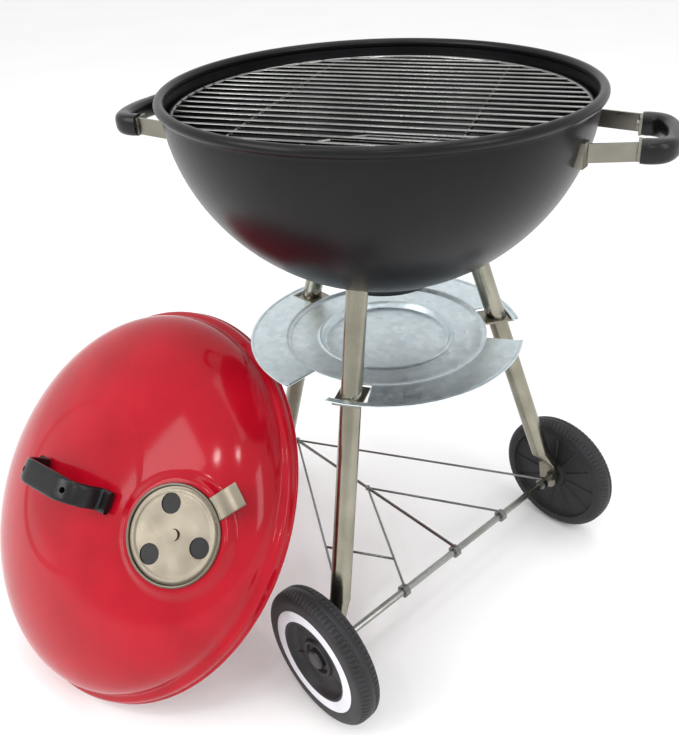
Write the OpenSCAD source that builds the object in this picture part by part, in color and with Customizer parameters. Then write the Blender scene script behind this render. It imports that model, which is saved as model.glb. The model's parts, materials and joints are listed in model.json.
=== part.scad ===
// Kettle charcoal grill on a two-wheeled tripod, lid off and leaning against the ash tray.
// Millimetres. The origin is on the floor, under the middle of the bowl, and +Z is up.
// The front leg points along -Y, and the bowl's two handles lie along X.

/* [Bowl] */
// Outer diameter over the rolled rim
bowl_d = 430; // [380:1:520]
// Height of the rim's top above the floor
rim_z = 620; // [560:1:740]
// Depth of the bowl, from the rim's top to its flat underside
bowl_depth = 205; // [172:1:246]
// Sheet thickness of the bowl and the lid
sheet_t = 1.6; // [1.3:0.1:2.4]
// Radius of the rolled bead round the rim
bead_r = 5; // [4:0.5:6]
// Fullness of the bowl's curve, where 2 is an ellipse
bowl_fullness = 1.9; // [1.7:0.05:2.2]
// Radius of the flat bottom, which holds the vents
bottom_r = 60; // [55:1:72]
// Radius of each vent hole in the bowl
vent_r = 11; // [8:0.5:12]

/* [Legs] */
// Distance of a leg from the middle, where it meets the bowl
leg_top_r = 98; // [92:1:118]
// Distance of a leg from the middle, at the height of the axle
leg_foot_r = 218; // [200:1:262]
// Outer diameter of the leg tube
leg_d = 22; // [18:0.5:25]
// Wall of the leg tube
leg_wall = 1.5; // [1.2:0.1:2.5]
// Length of each spigot under the bowl, which a leg slides onto
spigot_l = 34; // [28:1:45]

/* [Wheels] */
// Wheel diameter
wheel_d = 156; // [130:1:188]
// Wheel width over the tread
wheel_w = 28; // [24:1:34]
// Axle diameter
axle_d = 8; // [6:0.5:10]
// Distance of a wheel's middle plane from its leg
wheel_gap = 21; // [20:1:32]

/* [Ash tray] */
// Depth of the tray's rim below the bowl
tray_drop = 73; // [50:1:90]
// Width of the hooks that reach round the legs
hook_w = 7.4; // [6:0.2:12]
// Sheet thickness of the tray
tray_t = 1.2; // [1:0.1:2]
// Angle that the tray turns to free it from the legs
tray_turn = 17; // [14:1:18]

/* [Shelf] */
// Radius of the shelf's heavy wire
heavy_wire_r = 2; // [1.5:0.1:2.4]
// Radius of the shelf's light wire
light_wire_r = 1.5; // [1.2:0.1:2]

/* [Grates] */
// Depth of the cooking grid below the rim
grid_drop = 20; // [16:1:34]
// Depth of the charcoal grate below the rim
grate_drop = 104; // [90:1:125]
// Middle-to-middle distance of the cooking grid's bars
bar_pitch = 18; // [14:1:22]
// Middle-to-middle distance of the charcoal grate's bars
grate_pitch = 22; // [18:1:30]

/* [Bowl handles] */
// Distance of the straps from the handle's middle at the bowl
strap_in = 58; // [48:1:64]
// Distance of the straps from the handle's middle at the grip
strap_out = 46; // [36:1:48]
// Height of the handle's middle below the rim
handle_drop = 43; // [34:1:52]
// Distance of the strap's outer end past the bowl's rim
strap_past = 31; // [29:1:60]
// Height of a strap
strap_h = 17; // [12:1:20]

/* [Lid] */
// How far the lid's skirt reaches past the bowl's rim all round
lid_over = 7; // [6:0.5:10]
// Height of the lid from its skirt edge to the middle of its top
lid_h = 104; // [90:1:125]
// Height of the straight skirt
skirt_h = 14; // [10:1:18]
// Fullness of the dome's curve
lid_fullness = 1.95; // [1.8:0.05:2.3]
// Width of the dome outside the lid damper's seat
damper_margin = 14; // [12:1:30]
// Radius of the lid damper
lid_damper_r = 51; // [42:1:54]

/* [Lid at rest] */
// Direction that the lid's top faces, seen from above
lid_turn = -116; // [-120:1:-112]
// Upward tilt of the lid's top from level
lid_lean = 41; // [39:1:46]
// Distance of the skirt's middle past the bowl's rim
lid_beside = 80; // [78:1:120]
// Direction of the skirt's middle from the bowl's axis
lid_bearing = -150; // [-153:1:-147]

/* [Hidden] */
$fn = 96;

// Clearances
run_gap = 0.05;     // radial gap of a pin that turns in its bore
slide_gap = 0.3;    // gap between faces that slide on or past each other

// Colours
enamel_black = "#1b1b1d";
enamel_red = "#c01828";
nickel = "#a5a294";
zinc = "#c4d2d8";
plastic = "#232326";
white_band = "#d8d8de";

// Bowl
bowl_r = bowl_d / 2;
wall_r = bowl_r - bead_r - 1;              // outer radius of the wall under the bead
brow_z = rim_z - 2 * bead_r - 2;           // height where the curve starts
curve_d = bowl_depth - (rim_z - brow_z);   // depth of the curve
floor_z = rim_z - bowl_depth;              // underside of the bowl
curve_steps = 18;
vents = 3;
vent_place = 31;
rivet_r = 3;
rivet_head_r = 6;
rivet_head_t = 2;

// Legs
AZIMUTHS = [-90, 30, 150];                 // front, right and back leg
wheel_r = wheel_d / 2;
axle_z = wheel_r;
axle_r = axle_d / 2;
leg_r = leg_d / 2;
leg_top_z = brow_z - curve_d * curve_share(leg_top_r);
leg_tilt = atan2(leg_foot_r - leg_top_r, leg_top_z - axle_z);
leg_run = norm([leg_foot_r - leg_top_r, leg_top_z - axle_z]);
spigot_r = leg_r - leg_wall - run_gap;
screw_r = 2.5;
screw_head_r = 4.5;
screw_head_t = 2;
screw_place = 24;                          // distance of a leg's screw from the bowl, along the leg
lug_t = 6;
lug_w = 24;
lug_up = 26;
lug_lean = atan(0.5 * tan(leg_tilt));      // a leg's lean, seen along the axle
crush_l = 26;                              // length over which a tube is squeezed flat
foot_wall = 2.5;
foot_l = 26;

// Axle: it runs from the front leg's foot to the right leg's
front_foot = leg_foot_r * [cos(AZIMUTHS[0]), sin(AZIMUTHS[0])];
right_foot = leg_foot_r * [cos(AZIMUTHS[1]), sin(AZIMUTHS[1])];
axle_turn = atan2(right_foot[1] - front_foot[1], right_foot[0] - front_foot[0]);
half_axle = norm(right_foot - front_foot) / 2;
axle_mid = (front_foot + right_foot) / 2;
washer_r = 9;
washer_inner = lug_t / 2;                  // a washer lies against its lug
washer_outer = wheel_gap - wheel_w / 2 - slide_gap;
cap_r = 11;
cap_h = 7;
cap_wall = 3;
axle_stub = 4;                             // length of axle inside a hub cap
hub_recess = 9;
hub_r = 17;
ring_in = 0.60 * wheel_r;
ring_out = 0.76 * wheel_r;
ring_t = 1.5;
tread_t = 14;
web_t = 13;

// Ash tray
tray_z = floor_z - tray_drop;
tray_ring_r = 74;
tray_step_h = 4;
tray_well_h = 6;
tray_slope = 5;
leg_at_tray = leg_top_r + (leg_top_z - tray_z) * tan(leg_tilt);
pocket_in = leg_at_tray - leg_r - 7;
pocket_out = leg_at_tray + leg_r + 3;
tray_r = round(10 * (pocket_out + hook_w)) / 10;
tray_step_r = round(pocket_in - tray_slope);   // the pockets bite a little into the pressed step
pocket_end = 8;                            // angle from a leg to its pocket's closed end
mouth_half = 9;                            // half the angle of a pocket's mouth
clip_w = leg_d + 8;
clip_t = 2.5;
clip_in = tray_step_r + tray_slope + slide_gap;   // a clip's inner end, outside the tray's pressed step
clip_reach = 4;                            // how far a clip runs past the pocket's outer side

// Shelf
shelf_z = axle_z + axle_r + run_gap + heavy_wire_r + 0.4;
eye_r = axle_r + run_gap + 1.6 * heavy_wire_r;   // outer radius of an eye that holds the axle
eye_l = 7;
back_hook = 0.885;                         // share of the way out to the back leg where the wires meet
fan_share = 0.49;                          // share of the median at which the fan starts
brace_share = 0.75;

// Grates
grid_wire_r = 2.5;
bar_r = 1.6;
grate_bar_r = 2.3;
grid_z = rim_z - grid_drop;
grid_r = inner_r(grid_z - 4) - 3;
grate_z = rim_z - grate_drop;
grate_r = inner_r(grate_z - 8) - 4;
tab_t = 2;
tab_w = 14;
tab_in = 14;

// Bowl handles
handle_z = rim_z - handle_drop;
strap_t = 2.5;
strap_reach = bowl_r + strap_past;
flange_l = 13;
flange_t = 1.6;
tab_l = 17;
grip_h = 22;
grip_w = 19;
grip_half = strap_out + 7;                 // half of the grip's length
grip_bow = 22;                             // how far the grip bows outwards
grip_round = 7;
grip_bend = (grip_half * grip_half + grip_bow * grip_bow) / (2 * grip_bow);
grip_start = strap_reach + grip_w / 2 - 2;
grip_sweep = asin(grip_half / grip_bend);
pad_l = 18;
handle_screw_r = 2.5;

// Bowl damper
damper_t = 1.2;
bowl_damper_r = 52;
lever_l = 84;
lever_w = 16;

// Lid
lid_r = bowl_r + lid_over;
neck_r = lid_r - 9;                        // radius where the dome starts
neck_z = skirt_h + 7;
hem_r = 2.5;
dome_h = lid_h - neck_z;
lid_axis_z = lid_r * cos(lid_lean) + 0.5;
damper_bearing = 96;
seat_r = lid_damper_r + 4;
damper_place = neck_r - damper_margin - seat_r;
seat_wall = 1.6;
seat_up = 1;
seat_deep = 11;
lid_vent_r = 10.5;
lid_vent_place = 31;
vent_turn = -33;                           // turn of the damper's holes round its rivet
damper_travel = 60;                        // turn from shut to open; the lid's holes lie this far on
edge_bead_r = 1.6;
tab_reach = lid_damper_r + 31;
tab_wide = 25;
tab_turn = 50;
lid_handle_half = 66;
lid_handle_w = 26;
lid_handle_t = 7;
lid_handle_h = 44;
lid_handle_turn = 97;
handle_foot = 20;

// The lid stands beside the bowl, and further out if its rim would meet the tray
lid_rim_r = lid_r + hem_r;
tray_crossing = (tray_z - lid_axis_z) / cos(lid_lean);   // distance up the lid's rim circle to the tray's height
lid_side = [cos(lid_bearing), sin(lid_bearing)];
lid_clear = tray_crossing > lid_rim_r ? 0 : max([for (side = [-1, 1]) let (
    up = -tray_crossing * sin(lid_lean) * [cos(lid_turn), sin(lid_turn)],
    across = side * sqrt(pow(lid_rim_r, 2) - pow(tray_crossing, 2)) * [-sin(lid_turn), cos(lid_turn)],
    w = up + across
) sqrt(max(0, pow(w * lid_side, 2) - w * w + pow(tray_r + 3, 2))) - w * lid_side]);
lid_away = max(bowl_r + lid_beside, lid_clear);

// Share of the bowl's depth at radius r, from the formula (r/a)^p + (z/d)^p = 1
function curve_share(r) = pow(1 - pow(r / wall_r, bowl_fullness), 1 / bowl_fullness);

// Inner radius of the bowl at height z
function inner_r(z) =
    (wall_r - sheet_t) * pow(1 - pow((brow_z - z) / (curve_d - sheet_t), bowl_fullness), 1 / bowl_fullness);

// Height of the dome's outer face above the skirt's edge, at radius r
function dome_z(r) = neck_z + dome_h * pow(1 - pow(r / neck_r, lid_fullness), 1 / lid_fullness);

// Points of a superellipse's quarter, from its widest place to its pole
function quarter(a, d, p, steps) =
    [for (i = [0:steps]) let (t = 90 * i / steps) [a * pow(cos(t), 2 / p), d * pow(sin(t), 2 / p)]];

module at_leg(i) {
    rotate([0, 0, AZIMUTHS[i]])
        translate([leg_top_r, 0, leg_top_z])
            rotate([0, 180 - leg_tilt, 0])
                children();
}

// Puts the axle's line along X, with X = 0 midway between the feet
module on_axle() {
    translate([axle_mid[0], axle_mid[1], axle_z]) rotate([0, 0, axle_turn]) children();
}

// Turns a part that is drawn along Z so that it lies along the axle, at distance x
module wheel_at(x) {
    on_axle() translate([x, 0, 0]) rotate([0, x > 0 ? 90 : -90, 0]) children();
}

module on_lid() {
    translate([lid_away * cos(lid_bearing), lid_away * sin(lid_bearing), lid_axis_z])
        rotate([0, 90 - lid_lean, lid_turn])
            children();
}

// The lid damper's seat: its Z axis stands square on the dome
module on_damper() {
    slope = atan2(dome_z(damper_place - 1) - dome_z(damper_place + 1), 2);
    rotate([0, 0, damper_bearing])
        translate([damper_place, 0, dome_z(damper_place)])
            rotate([0, slope, 0])
                children();
}

module wire(a, b, r) {
    run = b - a;
    translate(a)
        rotate([0, acos(run[2] / norm(run)), atan2(run[1], run[0])])
            cylinder(r = r, h = norm(run), $fn = 24);
}

module sector(r_in, r_out, a0, a1) {
    far = 2 * r_out;
    intersection() {
        difference() {
            circle(r = r_out);
            circle(r = r_in);
        }
        polygon([[0, 0], far * [cos(a0), sin(a0)], far * [cos((a0 + a1) / 2), sin((a0 + a1) / 2)],
                 far * [cos(a1), sin(a1)]]);
    }
}

module holes(count, place, r, h) {
    for (i = [0:count - 1])
        rotate([0, 0, 360 * i / count + 30]) translate([place, 0, -h / 2]) cylinder(r = r, h = h, $fn = 48);
}

// Half outline of the bowl, filled to its axis
module bowl_outline(grow) {
    a = wall_r + grow;
    d = curve_d + grow;
    curve = [for (p = quarter(a, d, bowl_fullness, curve_steps))
        if (p[0] > bottom_r + grow) [p[0], brow_z - p[1]]];
    polygon(concat([[0, rim_z - bead_r], [a, rim_z - bead_r]], curve,
                   [[bottom_r + grow, brow_z - d], [0, brow_z - d]]));
}

module bowl_solid() {
    rotate_extrude() bowl_outline(0);
}

module bowl() {
    color(enamel_black) difference() {
        union() {
            rotate_extrude() difference() {
                bowl_outline(0);
                bowl_outline(-sheet_t);
                translate([0, rim_z - bead_r - 0.001]) square([wall_r - sheet_t, 1]);
            }
            translate([0, 0, rim_z - bead_r])
                rotate_extrude() translate([bowl_r - bead_r, 0]) circle(r = bead_r, $fn = 32);
        }
        translate([0, 0, floor_z]) {
            holes(vents, vent_place, vent_r, 4 * sheet_t);
            translate([0, 0, -sheet_t]) cylinder(r = rivet_r, h = 4 * sheet_t, $fn = 32);
        }
    }
}

// A leg's screw comes in from the side that faces the bowl's axis
module leg_screw_bore() {
    translate([0, 0, screw_place]) rotate([0, 90, 0]) cylinder(r = screw_r, h = 2 * leg_r, $fn = 32);
}

module leg_spigots() {
    color(enamel_black) difference() {
        for (i = [0:2]) at_leg(i) difference() {
            translate([0, 0, -leg_r]) cylinder(r = spigot_r, h = spigot_l + leg_r);
            leg_screw_bore();
        }
        bowl_solid();
    }
}

// A leg's tube, from the bowl to distance l along the leg
module leg_tube(i, l) {
    difference() {
        at_leg(i) difference() {
            translate([0, 0, -leg_r]) cylinder(r = leg_r, h = l + leg_r);
            translate([0, 0, -2 * leg_r]) cylinder(r = leg_r - leg_wall, h = l + 3 * leg_r);
            leg_screw_bore();
        }
        bowl_solid();
    }
}

// A wheeled leg: its lower end is squeezed into a flat lug that holds the axle
module wheeled_leg(i, x) {
    inset = 0.4;
    color(nickel) difference() {
        union() {
            leg_tube(i, leg_run - lug_up - crush_l);
            hull() {
                at_leg(i) translate([0, 0, leg_run - lug_up - crush_l - 3])
                    cylinder(r = leg_r - inset, h = 3, $fn = 32);
                on_axle() translate([x, 0, 0]) rotate([-lug_lean, 0, 0])
                    translate([inset - lug_t / 2, inset - lug_w / 2, lug_up - 4])
                        cube([lug_t - 2 * inset, lug_w - 2 * inset, 4.5]);
            }
            on_axle() translate([x, 0, 0]) rotate([-lug_lean, 0, 0]) rotate([0, 90, 0])
                linear_extrude(lug_t, center = true) {
                    translate([-lug_up, -lug_w / 2]) square([lug_up, lug_w]);
                    circle(r = lug_w / 2);
                }
        }
        on_axle() rotate([0, 90, 0]) cylinder(r = axle_r + run_gap, h = 4 * half_axle, center = true);
    }
}

module front_leg() { wheeled_leg(0, -half_axle); }
module right_leg() { wheeled_leg(1, half_axle); }

back_leg_l = leg_run + (axle_z - foot_wall) / cos(leg_tilt) - leg_r * tan(leg_tilt);

module back_leg() {
    color(nickel) difference() {
        leg_tube(2, back_leg_l);
        shelf_stub(heavy_wire_r + run_gap);
    }
}

module back_foot() {
    color(plastic) difference() {
        at_leg(2) translate([0, 0, back_leg_l - foot_l])
            cylinder(r = leg_r + foot_wall, h = 2 * foot_l);
        at_leg(2) translate([0, 0, back_leg_l - 2 * foot_l]) cylinder(r = leg_r, h = 2 * foot_l);
        translate([-2 * leg_foot_r, -2 * leg_foot_r, -200]) cube([4 * leg_foot_r, 4 * leg_foot_r, 200]);
    }
}

module leg_screws() {
    stem = leg_wall + 6;
    color(nickel) for (i = [0:2]) at_leg(i) translate([leg_r - stem, 0, screw_place]) rotate([0, 90, 0]) {
        cylinder(r = screw_r, h = stem, $fn = 32);
        translate([0, 0, stem]) cylinder(r = screw_head_r, h = screw_head_t, $fn = 32);
    }
}

module axle() {
    long = 2 * (half_axle + wheel_gap + wheel_w / 2 - hub_recess + axle_stub + slide_gap);
    color(nickel) on_axle() rotate([0, 90, 0]) cylinder(r = axle_r, h = long, center = true, $fn = 48);
}

module axle_washers() {
    color(nickel) for (x = [-half_axle, half_axle]) wheel_at(x)
        translate([0, 0, washer_inner]) difference() {
            cylinder(r = washer_r, h = washer_outer - washer_inner);
            translate([0, 0, -1]) cylinder(r = axle_r + run_gap, h = washer_outer + 2, $fn = 48);
        }
}

// Profile of a wheel: radius across, width up, with its outer side on top
module wheel_outline() {
    half = wheel_w / 2;
    difference() {
        translate([axle_r + run_gap, -half]) square([wheel_r - axle_r - run_gap, wheel_w]);
        translate([0, half - hub_recess]) square([hub_r, hub_recess + 1]);
        translate([hub_r + 4, half - hub_recess]) square([ring_in - hub_r - 9, hub_recess + 1]);
        translate([ring_in, half - ring_t]) square([ring_out - ring_in, ring_t + 1]);
        translate([hub_r, -half - 1]) square([wheel_r - tread_t - hub_r, wheel_w - web_t - hub_recess + 1]);
        translate([wheel_r - 3, half + 0.001]) rotate(-45) square(8);
        translate([wheel_r - 3, -half - 0.001]) rotate(-45) square(8);
    }
}

module wheel(x) {
    color(plastic) wheel_at(x) translate([0, 0, wheel_gap]) rotate_extrude() wheel_outline();
}

module wheel_ring(x) {
    color(white_band) wheel_at(x) translate([0, 0, wheel_gap + wheel_w / 2 - ring_t])
        difference() {
            cylinder(r = ring_out, h = ring_t + 0.5);
            translate([0, 0, -1]) cylinder(r = ring_in, h = ring_t + 3);
        }
}

module hub_cap(x) {
    color(plastic) wheel_at(x) translate([0, 0, wheel_gap + wheel_w / 2 - hub_recess + slide_gap])
        rotate_extrude() difference() {
            union() {
                square([cap_r, cap_h - cap_wall]);
                square([cap_r - cap_wall, cap_h]);
                translate([cap_r - cap_wall, cap_h - cap_wall]) intersection() {
                    circle(r = cap_wall, $fn = 32);
                    square(cap_wall);
                }
            }
            translate([0, -1]) square([axle_r, axle_stub + 1]);
        }
}

module front_wheel() { wheel(-half_axle); }
module front_wheel_ring() { wheel_ring(-half_axle); }
module front_hub_cap() { hub_cap(-half_axle); }
module right_wheel() { wheel(half_axle); }
module right_wheel_ring() { wheel_ring(half_axle); }
module right_hub_cap() { hub_cap(half_axle); }

// A point of the shelf, in the plane of its wires
function level(p) = [p[0], p[1], shelf_z];
function on_line(p, q, share) = p + share * (q - p);

leg_at_shelf = leg_foot_r - (shelf_z - axle_z) * tan(leg_tilt);
shelf_back = level(back_hook * leg_at_shelf * [cos(AZIMUTHS[2]), sin(AZIMUTHS[2])]);
eye_edge = washer_r + lug_t;               // distance of an end eye from its leg
along_axle = [cos(axle_turn), sin(axle_turn)];
shelf_front = level(front_foot + eye_edge * along_axle);
shelf_right = level(right_foot - eye_edge * along_axle);
shelf_mid = level(axle_mid);
fan_front = on_line(shelf_mid, shelf_front, 0.5);
fan_right = on_line(shelf_mid, shelf_right, 0.5);
fan_root = on_line(shelf_back, shelf_mid, fan_share);

// The hooked end that passes through the back leg
module shelf_stub(r) {
    out = [cos(AZIMUTHS[2]), sin(AZIMUTHS[2]), 0];
    wire(shelf_back, level((leg_at_shelf + leg_r + 8) * out), r);
}

module wire_shelf() {
    color(nickel) difference() {
        shelf_wires();
        on_axle() rotate([0, 90, 0]) cylinder(r = axle_r + run_gap, h = 4 * half_axle, center = true);
    }
}

module shelf_wires() {
    brace_end = on_line(fan_root, fan_front, brace_share);
    brace_start = on_line(shelf_back, shelf_front, 0.63);
    union() {
        shelf_stub(heavy_wire_r);
        translate(shelf_back) cylinder(r = heavy_wire_r + 1.5, h = 2 * heavy_wire_r + 1, center = true, $fn = 32);
        translate(fan_root) cylinder(r = heavy_wire_r + 1, h = 2 * heavy_wire_r + 0.6, center = true, $fn = 32);
        wire(shelf_back, shelf_mid, heavy_wire_r);
        for (p = [shelf_front, shelf_right]) wire(shelf_back, p, light_wire_r);
        for (p = [fan_front, fan_right]) wire(fan_root, p, light_wire_r);
        wire(brace_start, brace_end, light_wire_r);
        for (p = [shelf_front, shelf_right, shelf_mid, fan_front, fan_right])
            translate([p[0], p[1], axle_z]) rotate([0, 0, axle_turn]) rotate([0, 90, 0])
                cylinder(r = eye_r, h = eye_l, center = true, $fn = 48);
    }
}

// Top line of the tray's pressed profile, from its middle to its edge
tray_line = [
    [0, tray_z - tray_step_h - tray_well_h],
    [tray_ring_r - tray_slope, tray_z - tray_step_h - tray_well_h],
    [tray_ring_r, tray_z - tray_step_h],
    [tray_step_r, tray_z - tray_step_h],
    [tray_step_r + tray_slope, tray_z],
    [tray_r, tray_z],
];

module ash_tray() {
    under = [for (i = [len(tray_line) - 1:-1:0]) tray_line[i] - [0, tray_t]];
    color(zinc) difference() {
        union() {
            rotate_extrude() polygon(concat(tray_line, under));
            translate([0, 0, tray_z]) rotate_extrude() translate([tray_r - 1, 0]) circle(r = 1.2, $fn = 24);
        }
        for (a = AZIMUTHS) translate([0, 0, tray_z - 20]) linear_extrude(40) {
            sector(pocket_in, pocket_out, a - tray_turn - mouth_half, a + pocket_end);
            sector(pocket_in, tray_r + 5, a - tray_turn - mouth_half, a - tray_turn + mouth_half);
        }
    }
}

module tray_clips() {
    color(nickel) difference() {
        for (a = AZIMUTHS) rotate([0, 0, a])
            translate([clip_in, -clip_w / 2, tray_z - tray_t - slide_gap - clip_t])
                cube([pocket_out + clip_reach - clip_in, clip_w, clip_t]);
        for (i = [0:2]) at_leg(i) cylinder(r = leg_r, h = leg_run);
    }
}

// Parallel bars that end in a round wire
module grate(r, wire_r, bar_r, pitch, cross) {
    half = floor((r - wire_r - 4) / pitch);
    lift = 0.8;                            // the bars' middles lie above the round wire's
    rotate_extrude() translate([r - wire_r, 0]) circle(r = wire_r, $fn = 24);
    for (i = [-half:half]) {
        l = sqrt(pow(r - wire_r, 2) - pow(i * pitch, 2));
        translate([-l, i * pitch, lift]) rotate([0, 90, 0]) cylinder(r = bar_r, h = 2 * l, $fn = 24);
    }
    for (x = cross) {
        l = sqrt(pow(r - wire_r, 2) - pow(x, 2));
        translate([x, l, lift - bar_r - wire_r + 1]) rotate([90, 0, 0])
            cylinder(r = wire_r - 0.3, h = 2 * l, $fn = 24);
    }
}

module cooking_grid() {
    color(nickel) translate([0, 0, grid_z])
        grate(grid_r, grid_wire_r, bar_r, bar_pitch, [-grid_r / 2, grid_r / 2]);
}

module charcoal_grate() {
    color(nickel) translate([0, 0, grate_z])
        grate(grate_r, grid_wire_r, grate_bar_r, grate_pitch, [-grate_r / 3, grate_r / 3]);
}

// Tabs inside the bowl, whose upper faces carry a grate at height z
module tabs(count, first, z, out) {
    color(enamel_black) intersection() {
        for (i = [0:count - 1]) rotate([0, 0, first + 360 * i / count])
            translate([out - tab_in, -tab_w / 2, z - tab_t]) cube([tab_in + 30, tab_w, tab_t]);
        rotate_extrude() bowl_outline(-sheet_t);
    }
}

module grid_brackets() { tabs(4, 45, grid_z - grid_wire_r - slide_gap, grid_r); }
module grate_brackets() { tabs(3, 90, grate_z - grid_wire_r - slide_gap, grate_r); }

// One strap: a flat bar from the bowl to the grip, with a foot at each end; side is 1 or -1
module strap(side) {
    wall = sqrt(pow(outer_at_handle, 2) - pow(strap_in, 2));
    foot_x = strap_reach - strap_t;
    swing = atan2(side * (strap_out - strap_in), foot_x - wall);
    run = norm([foot_x - wall, strap_out - strap_in]);
    translate([wall, side * strap_in, handle_z]) rotate([0, 0, swing])
        translate([-12, -strap_t / 2, -strap_h / 2]) cube([run + 12, strap_t, strap_h]);
    translate([foot_x, side * strap_out - (side > 0 ? tab_l - 2 : 2), handle_z - strap_h / 2])
        cube([strap_t, tab_l, strap_h]);
    intersection() {
        translate([0, 0, handle_z - strap_h / 2 - 3]) rotate_extrude() difference() {
            square([outer_at_handle + flange_t, strap_h + 6]);
            square([outer_at_handle - 6, strap_h + 6]);
        }
        rotate([0, 0, side * asin(strap_in / outer_at_handle)])
            translate([wall / 2, side > 0 ? -2 : -flange_l + 2, 0]) cube([wall, flange_l, 2 * rim_z]);
    }
}

outer_at_handle = wall_r * pow(1 - pow((brow_z - handle_z - strap_h / 2) / curve_d, bowl_fullness),
                               1 / bowl_fullness) + 2.5;

module handle_straps(turn) {
    color(nickel) difference() {
        rotate([0, 0, turn]) for (side = [-1, 1]) strap(side);
        bowl_solid();
        rotate([0, 0, turn]) screw_bores();
    }
}

module screw_bores() {
    for (side = [-1, 1]) translate([strap_reach - 20, side * (strap_out - 7), handle_z])
        rotate([0, 90, 0]) cylinder(r = handle_screw_r, h = 32, $fn = 32);
}

module grip_section() {
    half_w = grip_w / 2 - grip_round;
    half_h = grip_h / 2 - grip_round;
    square([grip_w, 2 * half_h], center = true);
    square([2 * half_w, grip_h], center = true);
    for (x = [-half_w, half_w], y = [-half_h, half_h]) translate([x, y]) circle(r = grip_round, $fn = 32);
}

module grip(turn) {
    color(plastic) rotate([0, 0, turn]) difference() {
        union() {
            translate([grip_start + grip_bow - grip_bend, 0, handle_z])
                rotate([0, 0, -grip_sweep]) rotate_extrude(angle = 2 * grip_sweep)
                    translate([grip_bend, 0]) grip_section();
            for (side = [-1, 1])
                translate([strap_reach, side * (strap_out - 7) - pad_l / 2, handle_z - grip_h / 2])
                    cube([grip_w - 1, pad_l, grip_h]);
        }
        translate([0, -grip_bend, handle_z - grip_h]) cube([strap_reach, 2 * grip_bend, 2 * grip_h]);
        screw_bores();
    }
}

module left_handle_straps() { handle_straps(180); }
module left_handle_grip() { grip(180); }
module right_handle_straps() { handle_straps(0); }
module right_handle_grip() { grip(0); }

module handle_screws() {
    color(nickel) for (turn = [0, 180], side = [-1, 1]) rotate([0, 0, turn])
        translate([strap_reach - strap_t, side * (strap_out - 7), handle_z]) rotate([0, 90, 0]) {
            translate([0, 0, -screw_head_t]) cylinder(r = screw_head_r, h = screw_head_t, $fn = 32);
            cylinder(r = handle_screw_r, h = 14, $fn = 32);
        }
}

module bowl_damper() {
    color(enamel_black) translate([0, 0, floor_z - slide_gap - damper_t]) difference() {
        union() {
            cylinder(r = bowl_damper_r, h = damper_t);
            rotate([0, 0, 90]) translate([0, -lever_w / 2, 0]) cube([lever_l, lever_w, damper_t]);
        }
        holes(vents, vent_place, vent_r, 4);
        translate([0, 0, -1]) cylinder(r = rivet_r + run_gap, h = 4, $fn = 32);
    }
}

module bowl_damper_rivet() {
    stem = 2 * slide_gap + damper_t + sheet_t;
    color(nickel) translate([0, 0, floor_z - 2 * slide_gap - damper_t]) {
        cylinder(r = rivet_r, h = stem, $fn = 32);
        translate([0, 0, -rivet_head_t]) cylinder(r = rivet_head_r, h = rivet_head_t, $fn = 48);
        translate([0, 0, stem]) cylinder(r = rivet_head_r, h = rivet_head_t, $fn = 48);
    }
}

// Half outline of the lid, filled to its axis, moved inwards by inset
module lid_outline(inset) {
    a = neck_r - inset;
    d = dome_h - inset;
    curve = [for (p = quarter(a, d, lid_fullness, curve_steps)) if (p[0] > 0.01) [p[0], neck_z + p[1]]];
    polygon(concat([[0, -0.001], [lid_r - inset, -0.001], [lid_r - inset, skirt_h],
                    [lid_r - inset - 5, skirt_h + 4]], curve, [[0, neck_z + d]]));
}

module lid_shell() {
    rotate_extrude() difference() {
        lid_outline(0);
        lid_outline(sheet_t);
        translate([0, -1]) square([lid_r - sheet_t, 1.5]);
    }
    translate([0, 0, hem_r]) rotate_extrude() translate([lid_r - sheet_t / 2, 0]) circle(r = hem_r, $fn = 24);
}

module lid() {
    color(enamel_red) on_lid() difference() {
        union() {
            difference() {
                lid_shell();
                on_damper() translate([0, 0, -seat_deep - 10]) cylinder(r = seat_r - seat_wall / 2, h = 40);
            }
            on_damper() difference() {
                translate([0, 0, -seat_deep]) cylinder(r = seat_r, h = seat_deep + seat_up);
                translate([0, 0, -seat_deep - 1])
                    cylinder(r = seat_r - seat_wall, h = seat_deep + 1 + seat_up - seat_wall);
            }
        }
        on_damper() {
            rotate([0, 0, vent_turn + damper_travel]) holes(vents, lid_vent_place, lid_vent_r, 40);
            translate([0, 0, -20]) cylinder(r = rivet_r, h = 40, $fn = 32);
        }
        lid_screw_bores();
    }
}

module lid_screw_bores() {
    rotate([0, 0, lid_handle_turn]) for (side = [-1, 1])
        translate([side * lid_screw_x, 0, lid_h - 20]) cylinder(r = handle_screw_r, h = 50, $fn = 32);
}

lid_screw_x = lid_handle_half - handle_foot / 2;
handle_seat_z = dome_z(lid_screw_x - handle_foot / 2) + 0.05;
lid_screw_z = dome_z(lid_screw_x + 5) - sheet_t - screw_head_t - 0.2;   // a head lies just under the sheet
lid_screw_l = handle_seat_z + lid_handle_t - 2 - lid_screw_z;

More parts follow.
